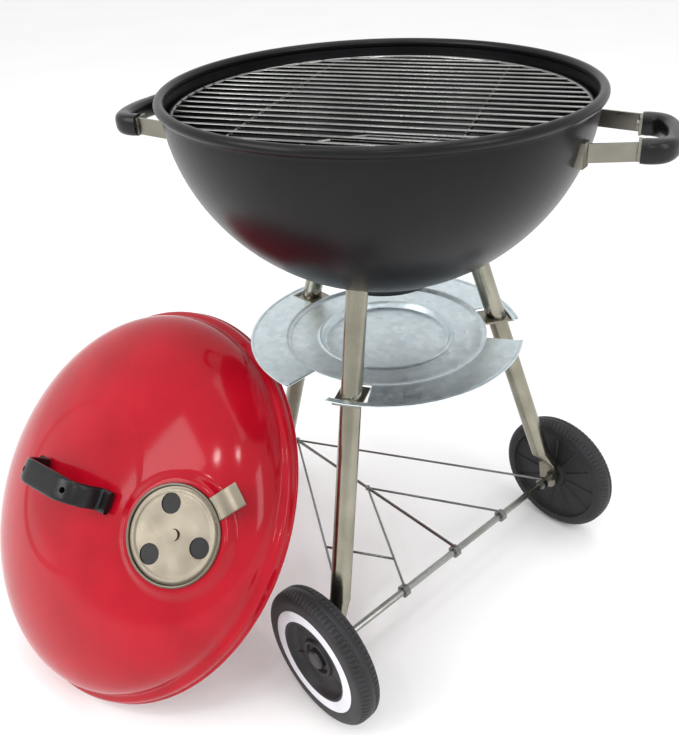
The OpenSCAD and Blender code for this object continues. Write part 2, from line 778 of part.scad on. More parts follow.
// The lid's handle: a moulded strap that arches over the middle of the lid
module lid_handle() {
    arch_w = 2 * (lid_handle_half - handle_foot);
    arch_h = lid_handle_h - lid_handle_t;
    color(plastic) on_lid() difference() {
        rotate([0, 0, lid_handle_turn]) translate([0, lid_handle_w / 2, handle_seat_z]) rotate([90, 0, 0])
            linear_extrude(lid_handle_w) difference() {
                union() {
                    translate([-lid_handle_half, 0]) square([2 * lid_handle_half, lid_handle_t]);
                    translate([-lid_handle_half + 10, 0]) square([2 * lid_handle_half - 20, lid_handle_h - 12]);
                    hull() for (x = [-1, 1]) translate([x * (lid_handle_half - 22), lid_handle_h - 12])
                        circle(r = 12, $fn = 48);
                }
                hull() for (x = [-1, 1]) translate([x * (arch_w / 2 - 8), arch_h - 8]) circle(r = 8, $fn = 48);
                translate([-arch_w / 2, -1]) square([arch_w, arch_h - 7]);
                translate([-lid_handle_half, -30]) square([2 * lid_handle_half, 30]);
            }
        lid_screw_bores();
    }
}

module lid_handle_screws() {
    color(nickel) on_lid() rotate([0, 0, lid_handle_turn]) for (side = [-1, 1])
        translate([side * lid_screw_x, 0, 0]) {
            translate([0, 0, lid_screw_z]) cylinder(r = handle_screw_r, h = lid_screw_l, $fn = 32);
            translate([0, 0, lid_screw_z]) cylinder(r = 5, h = screw_head_t, $fn = 32);
        }
}

module lid_damper() {
    color(nickel) on_lid() on_damper() translate([0, 0, seat_up + slide_gap]) difference() {
        union() {
            cylinder(r = lid_damper_r - edge_bead_r, h = damper_t);
            translate([0, 0, edge_bead_r])
                rotate_extrude() translate([lid_damper_r - edge_bead_r, 0]) circle(r = edge_bead_r, $fn = 24);
            rotate([0, 0, tab_turn]) translate([0, -tab_wide / 2, 0])
                cube([tab_reach, tab_wide, damper_t]);
        }
        rotate([0, 0, vent_turn]) holes(vents, lid_vent_place, lid_vent_r, 6);
        translate([0, 0, -1]) cylinder(r = rivet_r + run_gap, h = 6, $fn = 32);
    }
}

module lid_damper_rivet() {
    stem = seat_wall + 2 * slide_gap + damper_t;
    color(nickel) on_lid() on_damper() translate([0, 0, seat_up - seat_wall]) {
        cylinder(r = rivet_r, h = stem, $fn = 32);
        translate([0, 0, stem]) cylinder(r = rivet_head_r, h = rivet_head_t, $fn = 48);
        translate([0, 0, -rivet_head_t]) cylinder(r = rivet_head_r, h = rivet_head_t, $fn = 48);
    }
}

bowl();
leg_spigots();
front_leg();
right_leg();
back_leg();
back_foot();
leg_screws();
axle();
axle_washers();
front_wheel();
front_wheel_ring();
front_hub_cap();
right_wheel();
right_wheel_ring();
right_hub_cap();
wire_shelf();
ash_tray();
tray_clips();
cooking_grid();
grid_brackets();
charcoal_grate();
grate_brackets();
left_handle_straps();
left_handle_grip();
right_handle_straps();
right_handle_grip();
handle_screws();
bowl_damper();
bowl_damper_rivet();
lid();
lid_handle();
lid_handle_screws();
lid_damper();
lid_damper_rivet();
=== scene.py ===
# %% [markdown]
# # Kettle charcoal grill
# This file dresses a finished CAD model of a kettle grill on a two-wheeled tripod.
# The CAD says where everything is. Here each piece gets its true surface: rolled lips, pressed
# steps, moulded ribs, and a material that behaves like the real one. Lengths in the helper
# functions are millimetres, as in the CAD, and are turned to metres when a mesh is made.

import json
import math

import bmesh
import bpy
import numpy as np
from mathutils import Matrix, Vector


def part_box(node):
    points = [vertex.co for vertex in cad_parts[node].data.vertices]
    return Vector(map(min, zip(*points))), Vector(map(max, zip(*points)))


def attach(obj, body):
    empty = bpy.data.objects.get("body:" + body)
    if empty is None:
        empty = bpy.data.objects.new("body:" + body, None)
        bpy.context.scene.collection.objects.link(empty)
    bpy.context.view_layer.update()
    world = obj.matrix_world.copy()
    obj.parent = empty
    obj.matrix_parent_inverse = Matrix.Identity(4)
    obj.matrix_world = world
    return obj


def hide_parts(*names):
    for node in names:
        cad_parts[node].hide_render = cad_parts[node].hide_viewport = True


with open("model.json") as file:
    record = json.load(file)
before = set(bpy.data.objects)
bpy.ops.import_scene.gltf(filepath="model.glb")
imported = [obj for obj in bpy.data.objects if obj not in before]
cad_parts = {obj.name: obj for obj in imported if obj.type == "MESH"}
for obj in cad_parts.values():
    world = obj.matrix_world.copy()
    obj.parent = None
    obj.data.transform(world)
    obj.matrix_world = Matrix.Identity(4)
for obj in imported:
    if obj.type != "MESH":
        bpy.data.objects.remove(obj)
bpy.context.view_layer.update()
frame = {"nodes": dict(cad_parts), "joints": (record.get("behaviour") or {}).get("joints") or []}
MM = 0.001
TURN = 2 * math.pi

# %% [markdown]
# ## Camera
# The camera stands a step away and looks down at about thirty degrees, a person's view of a grill.
# A camera has a place, three angles and a lens. Turning a matrix by hand keeps the three angles
# apart: the turn round the vertical, the tip down, and a slight roll.

# %% Place the camera
EYE = (0.2262, -0.7720, 0.8037)
EYE_TURN, EYE_TIP, EYE_ROLL = math.radians(18.12), math.radians(29.83), math.radians(-2.47)
camera_data = bpy.data.cameras.new("camera")
camera_data.sensor_width = 36
camera_data.lens = 40.15
camera_data.shift_x, camera_data.shift_y = -0.0336, -0.0501
camera = bpy.data.objects.new("camera", camera_data)
bpy.context.scene.collection.objects.link(camera)
camera.matrix_world = (Matrix.Translation(EYE) @ Matrix.Rotation(EYE_TURN, 4, "Z")
                       @ Matrix.Rotation(math.pi / 2 - EYE_TIP, 4, "X")
                       @ Matrix.Rotation(EYE_ROLL, 4, "Z"))
bpy.context.scene.camera = camera
print("camera lens", camera_data.lens, "mm")

# %% [markdown]
# ## Floor and light
# Glossy enamel shows its surroundings, so the light matters as much as the material. Large soft
# panels give long, calm highlights, and a few small lamps give the bright dots of a shop's ceiling.
# A pale world fills the shadows, and a pale floor reflects into the undersides.


# %% Build the floor and the lights
def soft_panel(name, place, aim, width, height, power):
    """An area light at place that faces aim."""
    light = bpy.data.lights.new(name, "AREA")
    light.shape, light.size, light.size_y, light.energy = "RECTANGLE", width, height, power
    lamp = bpy.data.objects.new(name, light)
    lamp.location = place
    lamp.rotation_mode = "QUATERNION"
    lamp.rotation_quaternion = (Vector(aim) - Vector(place)).to_track_quat("-Z", "Y")
    bpy.context.scene.collection.objects.link(lamp)
    return lamp


world = bpy.data.worlds.new("studio")
world.use_nodes = True
world.node_tree.nodes["Background"].inputs["Color"].default_value = (1, 1, 1, 1)
world.node_tree.nodes["Background"].inputs["Strength"].default_value = 1.0
bpy.context.scene.world = world
bpy.context.scene.view_settings.view_transform = "Standard"
soft_panel("panel_left", (-1.6, -1.5, 1.9), (-0.1, 0, 0.4), 1.1, 1.6, 24)
soft_panel("panel_right", (1.9, -0.9, 1.5), (0, 0, 0.4), 0.5, 1.6, 12)
soft_panel("panel_top", (0.2, 0.3, 2.6), (0, 0, 0.4), 1.6, 1.6, 14)
for n, place in enumerate(((-0.5, -1.3, 2.4), (0.3, -1.1, 2.6), (-1.1, -1.9, 1.2), (0.7, -2.0, 1.6))):
    soft_panel("lamp_%d" % n, place, (-0.2, -0.1, 0.3), 0.16, 0.2, 3.5)
floor_mesh = bpy.data.meshes.new("floor")
FLOOR = 12.0
floor_mesh.from_pydata([(-FLOOR, -FLOOR, 0), (FLOOR, -FLOOR, 0), (FLOOR, FLOOR, 0), (-FLOOR, FLOOR, 0)],
                       [], [(0, 1, 2, 3)])
floor = bpy.data.objects.new("floor", floor_mesh)
bpy.context.scene.collection.objects.link(floor)
print("lights:", len(bpy.data.lights))

# %% [markdown]
# ## How a material is written here
# A material is a small graph of nodes. One function adds a node with its settings and its links,
# so that a graph reads as a list of steps. Colours are written as a painter would pick them, in
# sRGB hex, and one function turns them to the linear values that a shader works in.


# %% Material helpers
def linear(hex_colour):
    """sRGB hex to linear RGBA: c/12.92 for dark values, else ((c + 0.055) / 1.055) to the power 2.4."""
    c = np.array([int(hex_colour[i:i + 2], 16) for i in (1, 3, 5)]) / 255
    c = np.where(c <= 0.04045, c / 12.92, ((c + 0.055) / 1.055) ** 2.4)
    return (*c.tolist(), 1.0)


def add(tree, kind, settings=None, links=None):
    """Adds a node. A setting is an input's value or a property. A link joins an input to a socket."""
    made = tree.nodes.new(kind)
    for key, value in (settings or {}).items():
        if isinstance(key, int) or key in made.inputs:
            made.inputs[key].default_value = value
        else:
            setattr(made, key, value)
    for key, socket in (links or {}).items():
        tree.links.new(socket, made.inputs[key])
    return made


def start(name, roughness, metallic=0.0, **settings):
    """A new material with its shader's plain values set, and the piece's own coordinates in millimetres."""
    material = bpy.data.materials.new(name)
    material.use_nodes = True
    tree = material.node_tree
    shader = tree.nodes["Principled BSDF"]
    shader.inputs["Roughness"].default_value = roughness
    shader.inputs["Metallic"].default_value = metallic
    for key, value in settings.items():
        shader.inputs[key].default_value = value
    place = add(tree, "ShaderNodeTexCoord")
    scaled = add(tree, "ShaderNodeMapping", {"Scale": (1 / MM,) * 3}, {"Vector": place.outputs["Object"]})
    return material, tree, shader, scaled.outputs["Vector"]


def noise(tree, place, size, detail=3.0, stretch=(1, 1, 1)):
    """Soft noise with features of about size millimetres, drawn out where stretch is small."""
    moved = add(tree, "ShaderNodeMapping", {"Scale": stretch}, {"Vector": place})
    made = add(tree, "ShaderNodeTexNoise", {"Scale": 1 / size, "Detail": detail},
               {"Vector": moved.outputs["Vector"]})
    return made.outputs["Fac"]


def spread(tree, socket, low, high, from_low=0.3, from_high=0.7):
    """Turns a 0 to 1 pattern into numbers from low to high."""
    made = add(tree, "ShaderNodeMapRange", {"From Min": from_low, "From Max": from_high,
                                            "To Min": low, "To Max": high}, {"Value": socket})
    return made.outputs["Result"]


def blend(tree, socket, first, second):
    """Colour between two hex colours by a 0 to 1 pattern."""
    colours = {"data_type": "RGBA", 6: linear(first), 7: linear(second)}
    made = add(tree, "ShaderNodeMix", colours, {0: socket})
    return made.outputs[2]


def relief(tree, shader, height, depth, strength=0.3):
    """Bump of the given depth in millimetres, at a strength from 0 to 1."""
    made = add(tree, "ShaderNodeBump", {"Strength": strength, "Distance": depth * MM}, {"Height": height})
    tree.links.new(made.outputs["Normal"], shader.inputs["Normal"])


# %% [markdown]
# ## Enamel
# The bowl and the lid are pressed steel, sprayed with ground glass and fired. The glass flows as it
# melts and keeps a faint ripple, a few millimetres long, called orange peel, and a few fine pits.
# It is a clear glassy coat over a deep colour: not metal, low roughness, index about 1.5. The studio
# here is white all round, brighter than a room, so the coat's reflection is turned down to suit.


# %% Enamel materials
def vitreous_enamel(name, deep, light, roughness, gloss):
    """Deep colour, a slow ripple in the surface and fine pits that only change the roughness."""
    settings = {"IOR": 1.52, "Specular IOR Level": gloss}
    material, tree, shader, place = start(name, roughness, **settings)
    tree.links.new(blend(tree, spread(tree, noise(tree, place, 60), 0, 1), deep, light),
                   shader.inputs["Base Color"])
    ripple = noise(tree, place, 9, 1)
    pits = noise(tree, place, 1.2, 2)
    tree.links.new(spread(tree, pits, roughness, roughness + 0.08), shader.inputs["Roughness"])
    relief(tree, shader, ripple, 0.12, 0.12)
    return material


black_enamel = vitreous_enamel("vitreous_enamel_black_fired", "#08080a", "#0f0f12", 0.27, 0.2)
red_enamel = vitreous_enamel("vitreous_enamel_red_fired", "#98081a", "#a80d20", 0.08, 0.2)
print("enamels:", black_enamel.name, red_enamel.name)

# %% [markdown]
# ## Plated and bare metals
# Tube, strip and wire are steel with a bright plating. Plating keeps the lines of the polishing
# wheel, so the roughness varies in long thin streaks along the piece. Warm grey is nickel, cooler
# grey is zinc or chrome. All are fully metallic and keep the default index.


# %% Metal materials
def plated_steel(name, dark, light, low, high, stretch, streak=1.2):
    """Two close greys in clouds, and polishing lines that set the roughness between low and high."""
    material, tree, shader, place = start(name, low, metallic=1.0)
    lines = noise(tree, place, streak, 4, stretch)
    cloud = noise(tree, place, 45, 3)
    tree.links.new(blend(tree, spread(tree, cloud, 0, 1), dark, light), shader.inputs["Base Color"])
    tree.links.new(spread(tree, lines, low, high), shader.inputs["Roughness"])
    relief(tree, shader, lines, 0.02, 0.15)
    return material


nickel_tube = plated_steel("nickel_plated_tube_polished", "#827e70", "#9c998b", 0.16, 0.28, (1, 1, 0.03))
nickel_strip = plated_steel("nickel_plated_strip_satin", "#7d7a70", "#918e84", 0.26, 0.36,
                            (0.1, 0.3, 0.6), 3)
damper_plate = plated_steel("nickel_plated_pressing_satin", "#5f594e", "#6f695e", 0.26, 0.34,
                            (0.2, 0.2, 0.2), 6)
chrome_wire = plated_steel("chrome_plated_wire", "#6f706e", "#868785", 0.16, 0.26, (0.2, 0.2, 0.2))
bright_rod = plated_steel("bright_drawn_rod", "#84847f", "#9c9c98", 0.2, 0.32, (0.1, 0.06, 1))
zinc_screw = plated_steel("bright_zinc_screw", "#7d7e79", "#93948f", 0.24, 0.36, (1, 1, 1))


def galvanised_sheet(name):
    """Zinc-coated sheet: crystals a few millimetres across, each a little lighter or darker."""
    material, tree, shader, place = start(name, 0.4, metallic=1.0)
    crystal = add(tree, "ShaderNodeTexVoronoi", {"Scale": 1 / 7.0}, {"Vector": place})
    grey = add(tree, "ShaderNodeSeparateColor", {}, {"Color": crystal.outputs["Color"]})
    tree.links.new(blend(tree, grey.outputs[0], "#ccd8dd", "#dae4e8"), shader.inputs["Base Color"])
    tree.links.new(spread(tree, grey.outputs[1], 0.36, 0.48, 0, 1), shader.inputs["Roughness"])
    relief(tree, shader, noise(tree, place, 2, 3), 0.04, 0.2)
    return material


zinc_sheet = galvanised_sheet("galvanised_sheet_pressed")
print("metals made")

# %% [markdown]
# ## Plastics and rubber
# Wheels are moulded polyethylene with a fine grain from the mould's face. Grips are phenolic resin,
# which comes out of a polished mould nearly glossy. Neither is metal, and both have an index
# of about 1.5. The grain is a fraction of a millimetre, drawn a little coarse so that it shows.


# %% Plastic materials
def moulded(name, deep, light, roughness, grain, depth, gloss=0.5):
    """Two close shades in soft clouds, with a fine grain in both the roughness and the relief."""
    settings = {"IOR": 1.5, "Specular IOR Level": gloss}
    material, tree, shader, place = start(name, roughness, **settings)
    cloud = noise(tree, place, 25, 3)
    fine = noise(tree, place, grain, 2)
    tree.links.new(blend(tree, spread(tree, cloud, 0, 1), deep, light), shader.inputs["Base Color"])
    tree.links.new(spread(tree, fine, roughness - 0.06, roughness + 0.06), shader.inputs["Roughness"])
    relief(tree, shader, fine, depth, 0.4)
    return material


wheel_plastic = moulded("polyethylene_moulded_black", "#1d1c1e", "#262528", 0.5, 0.9, 0.1, 0.35)
white_plastic = moulded("polyethylene_moulded_white", "#d2d2d9", "#dedee4", 0.42, 1.2, 0.05)
cap_plastic = moulded("polyethylene_cap_black", "#1b1b1d", "#242426", 0.4, 0.9, 0.08)
grip_phenolic = moulded("phenolic_grip_polished", "#0b0b0d", "#121214", 0.3, 2.5, 0.03, 0.3)
foot_rubber = moulded("rubber_foot_moulded", "#1d1d1e", "#272728", 0.66, 0.8, 0.15)


def pale_floor(name):
    """Nearly white paint with a faint unevenness."""
    material, tree, shader, place = start(name, 0.7)
    tree.links.new(blend(tree, noise(tree, place, 400), "#f2f2f2", "#f7f7f7"), shader.inputs["Base Color"])
    return material


floor.data.materials.append(pale_floor("painted_studio_floor"))
print("materials:", len(bpy.data.materials))

# %% [markdown]
# ## Surfaces from arrays
# Nearly every piece here is either turned, such as a bowl, or carried along a path, such as a tube.
# Both are grids: one direction runs round the section, the other round the axis or along the path.
# numpy works out all points at once, and the grid's index pattern gives the faces.


# %% Mesh helpers
def grid_faces(rows, columns, close_rows, close_columns):
    """Index quads of a rows x columns grid, wrapped in a direction that is closed."""
    i = np.arange(rows if close_rows else rows - 1)[:, None]
    j = np.arange(columns if close_columns else columns - 1)[None, :]
    i2, j2 = (i + 1) % rows, (j + 1) % columns
    quads = np.stack([i * columns + j, i * columns + j2, i2 * columns + j2, i2 * columns + j], -1)
    return quads.reshape(-1, 4)


def make_piece(name, points, faces, material, crease=35, turn_out=False):
    """A mesh object from points in millimetres. Doubled points, as at a pole or a seam, become one."""
    mesh = bpy.data.meshes.new(name)
    places = np.asarray(points, float).reshape(-1, 3) * MM
    mesh.from_pydata(places.tolist(), [], np.asarray(faces).tolist())
    shape = bmesh.new()
    shape.from_mesh(mesh)
    bmesh.ops.remove_doubles(shape, verts=shape.verts, dist=1e-7)
    bmesh.ops.dissolve_degenerate(shape, edges=shape.edges, dist=1e-8)
    if turn_out:
        bmesh.ops.recalc_face_normals(shape, faces=shape.faces)
    shape.to_mesh(mesh)
    shape.free()
    mesh.shade_smooth()
    mesh.set_sharp_from_angle(angle=math.radians(crease))
    mesh.materials.append(material)
    piece = bpy.data.objects.new(name, mesh)
    bpy.context.scene.collection.objects.link(piece)
    return piece


def spun(outline, around):
    """Carries a closed outline of (radius, height) round Z: x = r cos t, y = r sin t. It is drawn
    anticlockwise, so that its faces point out of the material."""
    t = np.arange(around) * TURN / around
    r, z = outline[:, 0][:, None], outline[:, 1][:, None]
    points = np.stack([r * np.cos(t), r * np.sin(t), z + 0 * t], -1)
    return points, grid_faces(len(outline), around, True, True)


def rounded(corners, radii, steps=6):
    """A line through corners whose bends are rounded: each bend is a parabola between points at its
    radius from the corner."""
    corners = np.asarray(corners, float)
    t = np.linspace(0, 1, steps)[:, None]
    line = [corners[:1]]
    for before, at, after, r in zip(corners, corners[1:], corners[2:], radii):
        a = at + (before - at) / np.linalg.norm(before - at) * r
        b = at + (after - at) / np.linalg.norm(after - at) * r
        line.append((1 - t) ** 2 * a + 2 * t * (1 - t) * at + t ** 2 * b)
    return np.concatenate([*line, corners[-1:]])


def arc(centre, radius, first, last, steps):
    """Points on a circle from one angle to another, in degrees."""
    t = np.radians(np.linspace(first, last, steps))
    return np.stack([centre[0] + radius * np.cos(t), centre[1] + radius * np.sin(t)], -1)


def carried(section, path, up, sizes=None):
    """Carries a closed section of (side, height) along a path. The side direction is square to the
    path and to up. Both ends are closed by a last section shrunk to a point."""
    path = np.asarray(path, float)
    along = np.gradient(path, axis=0)
    along /= np.linalg.norm(along, axis=1)[:, None]
    side = np.cross(along, np.asarray(up, float))
    side /= np.linalg.norm(side, axis=1)[:, None]
    rise = np.cross(side, along)
    scale = np.ones((len(path), 2)) if sizes is None else np.asarray(sizes, float)
    points = (path[:, None] + side[:, None] * (section[None, :, :1] * scale[:, None, :1])
              + rise[:, None] * (section[None, :, 1:] * scale[:, None, 1:]))
    first, last = (np.broadcast_to(path[end, None], points[:1].shape) for end in ([0], [-1]))
    points = np.concatenate([first, points, last])
    return points, grid_faces(len(points), len(section), False, True)


def moved(points, matrix):
    """Points turned and shifted by a 4 x 4 matrix in millimetres."""
    m = np.array(matrix)
    return points @ m[:3, :3].T + m[:3, 3]


def stands_for(piece, body, slot, *nodes):
    """Rides on its body in place of CAD nodes, and prints how far its box is from theirs."""
    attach(piece, body)
    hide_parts(*nodes)
    points = np.array([v.co for v in piece.data.vertices])
    boxes = [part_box(n) for n in nodes]
    low = np.min([b[0] for b in boxes], 0) - points.min(0)
    high = points.max(0) - np.max([b[1] for b in boxes], 0)
    print(f"{piece.name}: {len(points)} points, past the CAD by {max(low.max(), high.max()) / MM:.2f} mm, "
          f"short of it by {max((-low).max(), (-high).max()) / MM:.2f} mm")
    return piece


def combine(piece, points, faces, how="DIFFERENCE"):
    """Cuts a closed shape out of a piece, or joins it on, and keeps the result as the piece's mesh."""
    tool = make_piece("tool", points, faces, piece.data.materials[0], turn_out=True)
    step = piece.modifiers.new("combine", "BOOLEAN")
    step.operation, step.solver, step.object = how, "EXACT", tool
    bpy.context.view_layer.update()
    seen = piece.evaluated_get(bpy.context.evaluated_depsgraph_get())
    mesh = bpy.data.meshes.new_from_object(seen)
    mesh.set_sharp_from_angle(angle=math.radians(35))
    piece.modifiers.clear()
    piece.data = mesh
    bpy.data.objects.remove(tool)


def pegs(count, place, radius, low, high, first=30, sides=48):
    """Upright pegs in a ring, as one set of points and faces, for cutting vent holes."""
    t = np.arange(sides) * TURN / sides
    points, faces = [], []
    for k in range(count):
        a = TURN * k / count + math.radians(first)
        ring = np.stack([place * math.cos(a) + radius * np.cos(t),
                         place * math.sin(a) + radius * np.sin(t)], -1)
        hub = np.broadcast_to(ring.mean(0), ring.shape)
        levels = [np.column_stack([p, np.full(sides, z)]) for p, z in
                  ((hub, low), (ring, low), (ring, high), (hub, high))]
        faces.append(grid_faces(4, sides, False, True) + 4 * sides * k)
        points.append(np.concatenate(levels))
    return np.concatenate(points), np.concatenate(faces)


# %% [markdown]
# ## Sizes
# These are the sizes that the CAD part was drawn with, in millimetres and degrees. Joints and
# places come from the frame itself where it has them.

# %% Sizes of the real parts
RIM_Z, BOWL_R, BEAD_R, SHEET = 620.0, 215.0, 5.0, 1.6
WALL_R, BROW_Z, CURVE_D, BOWL_FULLNESS, BOTTOM_R = 209.0, 608.0, 193.0, 1.9, 60.0
VENTS, VENT_PLACE, VENT_R = 3, 31.0, 11.0
print("bowl radius", BOWL_R, "mm")

# %% [markdown]
# ## Bowl
# A disc of steel is pressed into a deep bowl, and its edge is rolled outwards into a bead that
# stiffens it. It could be a sphere cut in half, but a pressed bowl is fuller near the rim and flat
# at the bottom. A superellipse, (r/a)^p + (z/d)^p = 1, gives that with one number for its fullness.
# The outline is drawn once, outside and inside, and spun.


# %% Bowl
def superellipse(a, d, power, first, last, steps):
    """(a cos^(2/p) t, d sin^(2/p) t) for t from first to last degrees."""
    t = np.radians(np.linspace(first, last, steps))
    return np.stack([a * np.cos(t).clip(0) ** (2 / power), d * np.sin(t).clip(0) ** (2 / power)], -1)


def bowl_wall(grow, steps):
    """The bowl's wall from the edge of its flat bottom up to its brow, moved outwards by grow."""
    curve = superellipse(WALL_R + grow, CURVE_D + grow, BOWL_FULLNESS, 0, 90, 4 * steps)
    curve = curve[curve[:, 0] > BOTTOM_R + 5]
    return np.stack([curve[::-1, 0], BROW_Z - curve[::-1, 1]], -1)


floor_z = BROW_Z - CURVE_D
outside = np.concatenate([[[0, floor_z]], [[BOTTOM_R - 8, floor_z]],
                          [[BOTTOM_R - 2, floor_z + 0.3]], bowl_wall(0, 30)])
lip = arc((BOWL_R - BEAD_R, RIM_Z - BEAD_R), BEAD_R, -95, 240, 26)
inside = bowl_wall(-SHEET, 30)[::-1]
inside = np.concatenate([inside, [[BOTTOM_R - 3, floor_z + SHEET + 0.3]], [[BOTTOM_R - 9, floor_z + SHEET]],
                         [[0, floor_z + SHEET]]])
bowl_points, bowl_faces = spun(np.concatenate([outside, lip, inside]), 224)
bowl = make_piece("bowl_shell", bowl_points, bowl_faces, black_enamel)
combine(bowl, *pegs(VENTS, VENT_PLACE, VENT_R, floor_z - 3, floor_z + 6))
stands_for(bowl, "stand", "black_enamel", "bowl")

# %% [markdown]
# ## Where the lid and its damper lie
# The lid leans on its skirt beside the grill. Its pieces are drawn upright, with the skirt's edge
# on the plane z = 0, and one matrix lays them down. The damper has a matrix of its own, which
# stands its axis square on the dome.

# %% Lid matrices
LID_R, NECK_R, SKIRT_H, NECK_Z, LID_H, LID_FULLNESS, HEM_R = 222.0, 213.0, 14.0, 21.0, 104.0, 1.95, 2.5
LID_TURN, LID_LEAN, LID_BEARING, LID_AWAY = -116, 41, -150, 295
DAMPER_PLACE, DAMPER_BEARING, DAMPER_R, SEAT_R, SEAT_UP = 144.0, 96, 51.0, 55.0, 1.0
LID_VENT_PLACE, LID_VENT_R, VENT_FIRST, DAMPER_TRAVEL = 31.0, 10.5, -3, 60


def turned(degrees, axis):
    return Matrix.Rotation(math.radians(degrees), 4, axis)


def dome(r):
    """Height of the lid's dome at radius r: neck + depth * (1 - (r/a)^p)^(1/p)."""
    share = (1 - np.clip(np.asarray(r, float) / NECK_R, 0, 1) ** LID_FULLNESS) ** (1 / LID_FULLNESS)
    return NECK_Z + (LID_H - NECK_Z) * share


away = math.radians(LID_BEARING)
lid_place = (Matrix.Translation((LID_AWAY * math.cos(away), LID_AWAY * math.sin(away),
                                 LID_R * math.cos(math.radians(LID_LEAN)) + 0.5))
             @ turned(LID_TURN, "Z") @ turned(90 - LID_LEAN, "Y"))
slope = math.degrees(math.atan2(dome(DAMPER_PLACE - 1) - dome(DAMPER_PLACE + 1), 2))
seat_in_lid = (turned(DAMPER_BEARING, "Z") @ Matrix.Translation((DAMPER_PLACE, 0, dome(DAMPER_PLACE)))
               @ turned(slope, "Y"))
seat_place = lid_place @ seat_in_lid
pivot = next(j for j in frame["joints"] if j["name"] == "lid_damper_turn")["pos_m"]
print("damper is", round((seat_place.translation * MM - Vector(pivot)).length / MM, 2), "mm from its joint")

# %% [markdown]
# ## Lid
# The lid is pressed like the bowl, with a wired edge, a straight skirt and a tight hollow where the
# dome begins. That hollow gives the second bright line round the edge. The damper sits on a round
# flat pressed up out of the dome. Instead of a separate disc, the flat is pressed into the same
# grid: near the damper's axis each point moves to the flat's plane, and the move fades out over a
# few millimetres. Under the damper the lid is painted black, a painted shade that makes the vent
# holes look dark.


# %% Lid shell
def smooth(x):
    """3x^2 - 2x^3 between 0 and 1."""
    x = np.clip(x, 0, 1)
    return x * x * (3 - 2 * x)


def press_seat(points, thickness):
    """Moves points near the damper's axis to a plane that lies SEAT_UP over the dome there."""
    there = np.array(seat_in_lid)
    q = (points - there[:3, 3]) @ there[:3, :3]
    reach = np.hypot(q[..., 0], q[..., 1])
    share = smooth((SEAT_R + 9 - reach) / 10) * (np.abs(q[..., 2]) < 30)
    q[..., 2] += (SEAT_UP - thickness - q[..., 2]) * share
    return q @ there[:3, :3].T + there[:3, 3]


def lid_side(inset, steps):
    """Skirt, hollow and dome from the edge to the pole, moved inwards by inset."""
    skirt = rounded([(LID_R - inset, 2 * HEM_R), (LID_R - inset, SKIRT_H), (NECK_R + 1 - inset, SKIRT_H + 4),
                     (NECK_R - inset, NECK_Z + 2)], [4, 2.5])
    curve = superellipse(NECK_R - inset, LID_H - NECK_Z - inset, LID_FULLNESS, 0, 90, steps)
    curve = curve[curve[:, 1] > 3] + [0, NECK_Z]
    crease = 0.7 * smooth((94 - curve[:, 0]) / 6)
    return np.concatenate([skirt, curve - np.stack([0 * crease, crease], -1)])


hem = arc((LID_R - SHEET / 2, HEM_R), HEM_R, 150, 400, 14)
outer, inner = lid_side(0, 110), lid_side(SHEET, 60)[::-1]
outer[-1, 0] = inner[0, 0] = 0
lid_outline = np.concatenate([hem, outer, inner])
lid_points, lid_faces = spun(lid_outline, 300)
outer_rows = slice(len(hem), len(hem) + len(outer))
inner_rows = slice(len(hem) + len(outer), None)
lid_points[outer_rows] = press_seat(lid_points[outer_rows], 0)
lid_points[inner_rows] = press_seat(lid_points[inner_rows], SHEET)
lid = make_piece("lid_shell", moved(lid_points, lid_place), lid_faces, red_enamel)
vent_points, vent_faces = pegs(3, LID_VENT_PLACE, LID_VENT_R, -12, 12, VENT_FIRST + DAMPER_TRAVEL)
combine(lid, moved(vent_points, seat_place), vent_faces)
# Faces under the damper take the black enamel as painted shade, so the vent holes look dark.
lid.data.materials.append(black_enamel)
middles = np.array([face.center for face in lid.data.polygons]) / MM
from_axis = (middles - np.array(seat_place)[:3, 3]) @ np.array(seat_place)[:3, :3]
painted_shade_faces = (np.hypot(from_axis[:, 0], from_axis[:, 1]) < DAMPER_R - 3) & (np.abs(from_axis[:, 2]) < 8)
lid.data.polygons.foreach_set("material_index", painted_shade_faces.astype(np.int32))
stands_for(lid, "lid_body", "red_enamel", "lid")

# %% [markdown]
# ## Lid damper
# A damper is a thin disc that turns on a rivet, and its three holes meet the lid's three holes or
# cover them. Its edge is curled up into a bead, and a tab sticks out for a fingertip. The disc is
# spun, the tab is a flat bar carried outwards, and the vents are cut through afterwards.

# %% Lid damper
PLATE_T, EDGE_R, TAB_REACH, TAB_WIDE, TAB_TURN = 1.2, 1.6, 82.0, 25.0, 50
base = SEAT_UP + 0.3
ring_r = DAMPER_R - EDGE_R


def rounded_box(width, height, power, steps=32):
    """A section between an ellipse and a box: (w cos^(2/p) t, h sin^(2/p) t), keeping signs."""
    t = np.arange(steps) * TURN / steps
    c, s = np.cos(t), np.sin(t)
    return np.stack([width / 2 * np.sign(c) * np.abs(c) ** (2 / power),
                     height / 2 * np.sign(s) * np.abs(s) ** (2 / power)], -1)


plate = np.concatenate([[[0, base]], rounded([(30, base), (ring_r - 5, base), (ring_r - 1, base)], [2]),
                        arc((ring_r, base + EDGE_R), EDGE_R, -80, 210, 18),
                        rounded([(ring_r - 3, base + PLATE_T), (ring_r - 6, base + PLATE_T),
                                 (ring_r - 9, base + PLATE_T - 0.3), (20, base + PLATE_T - 0.3)], [1, 1]),
                        [[0, base + PLATE_T - 0.3]]])
plate_points, plate_faces = spun(plate, 128)
damper = make_piece("lid_damper_plate", moved(plate_points, seat_place), plate_faces, damper_plate)
reach = np.linspace(ring_r - 4, TAB_REACH, 24)
tab_path = np.stack([reach, 0 * reach, base + PLATE_T / 2 + 2.2 * smooth((reach - 52) / 22)], -1)
tab_points, tab_faces = carried(rounded_box(TAB_WIDE, PLATE_T, 10, 40), tab_path, (0, 0, 1))
tab_place = seat_place @ turned(TAB_TURN, "Z")
combine(damper, moved(tab_points, tab_place), tab_faces, "UNION")
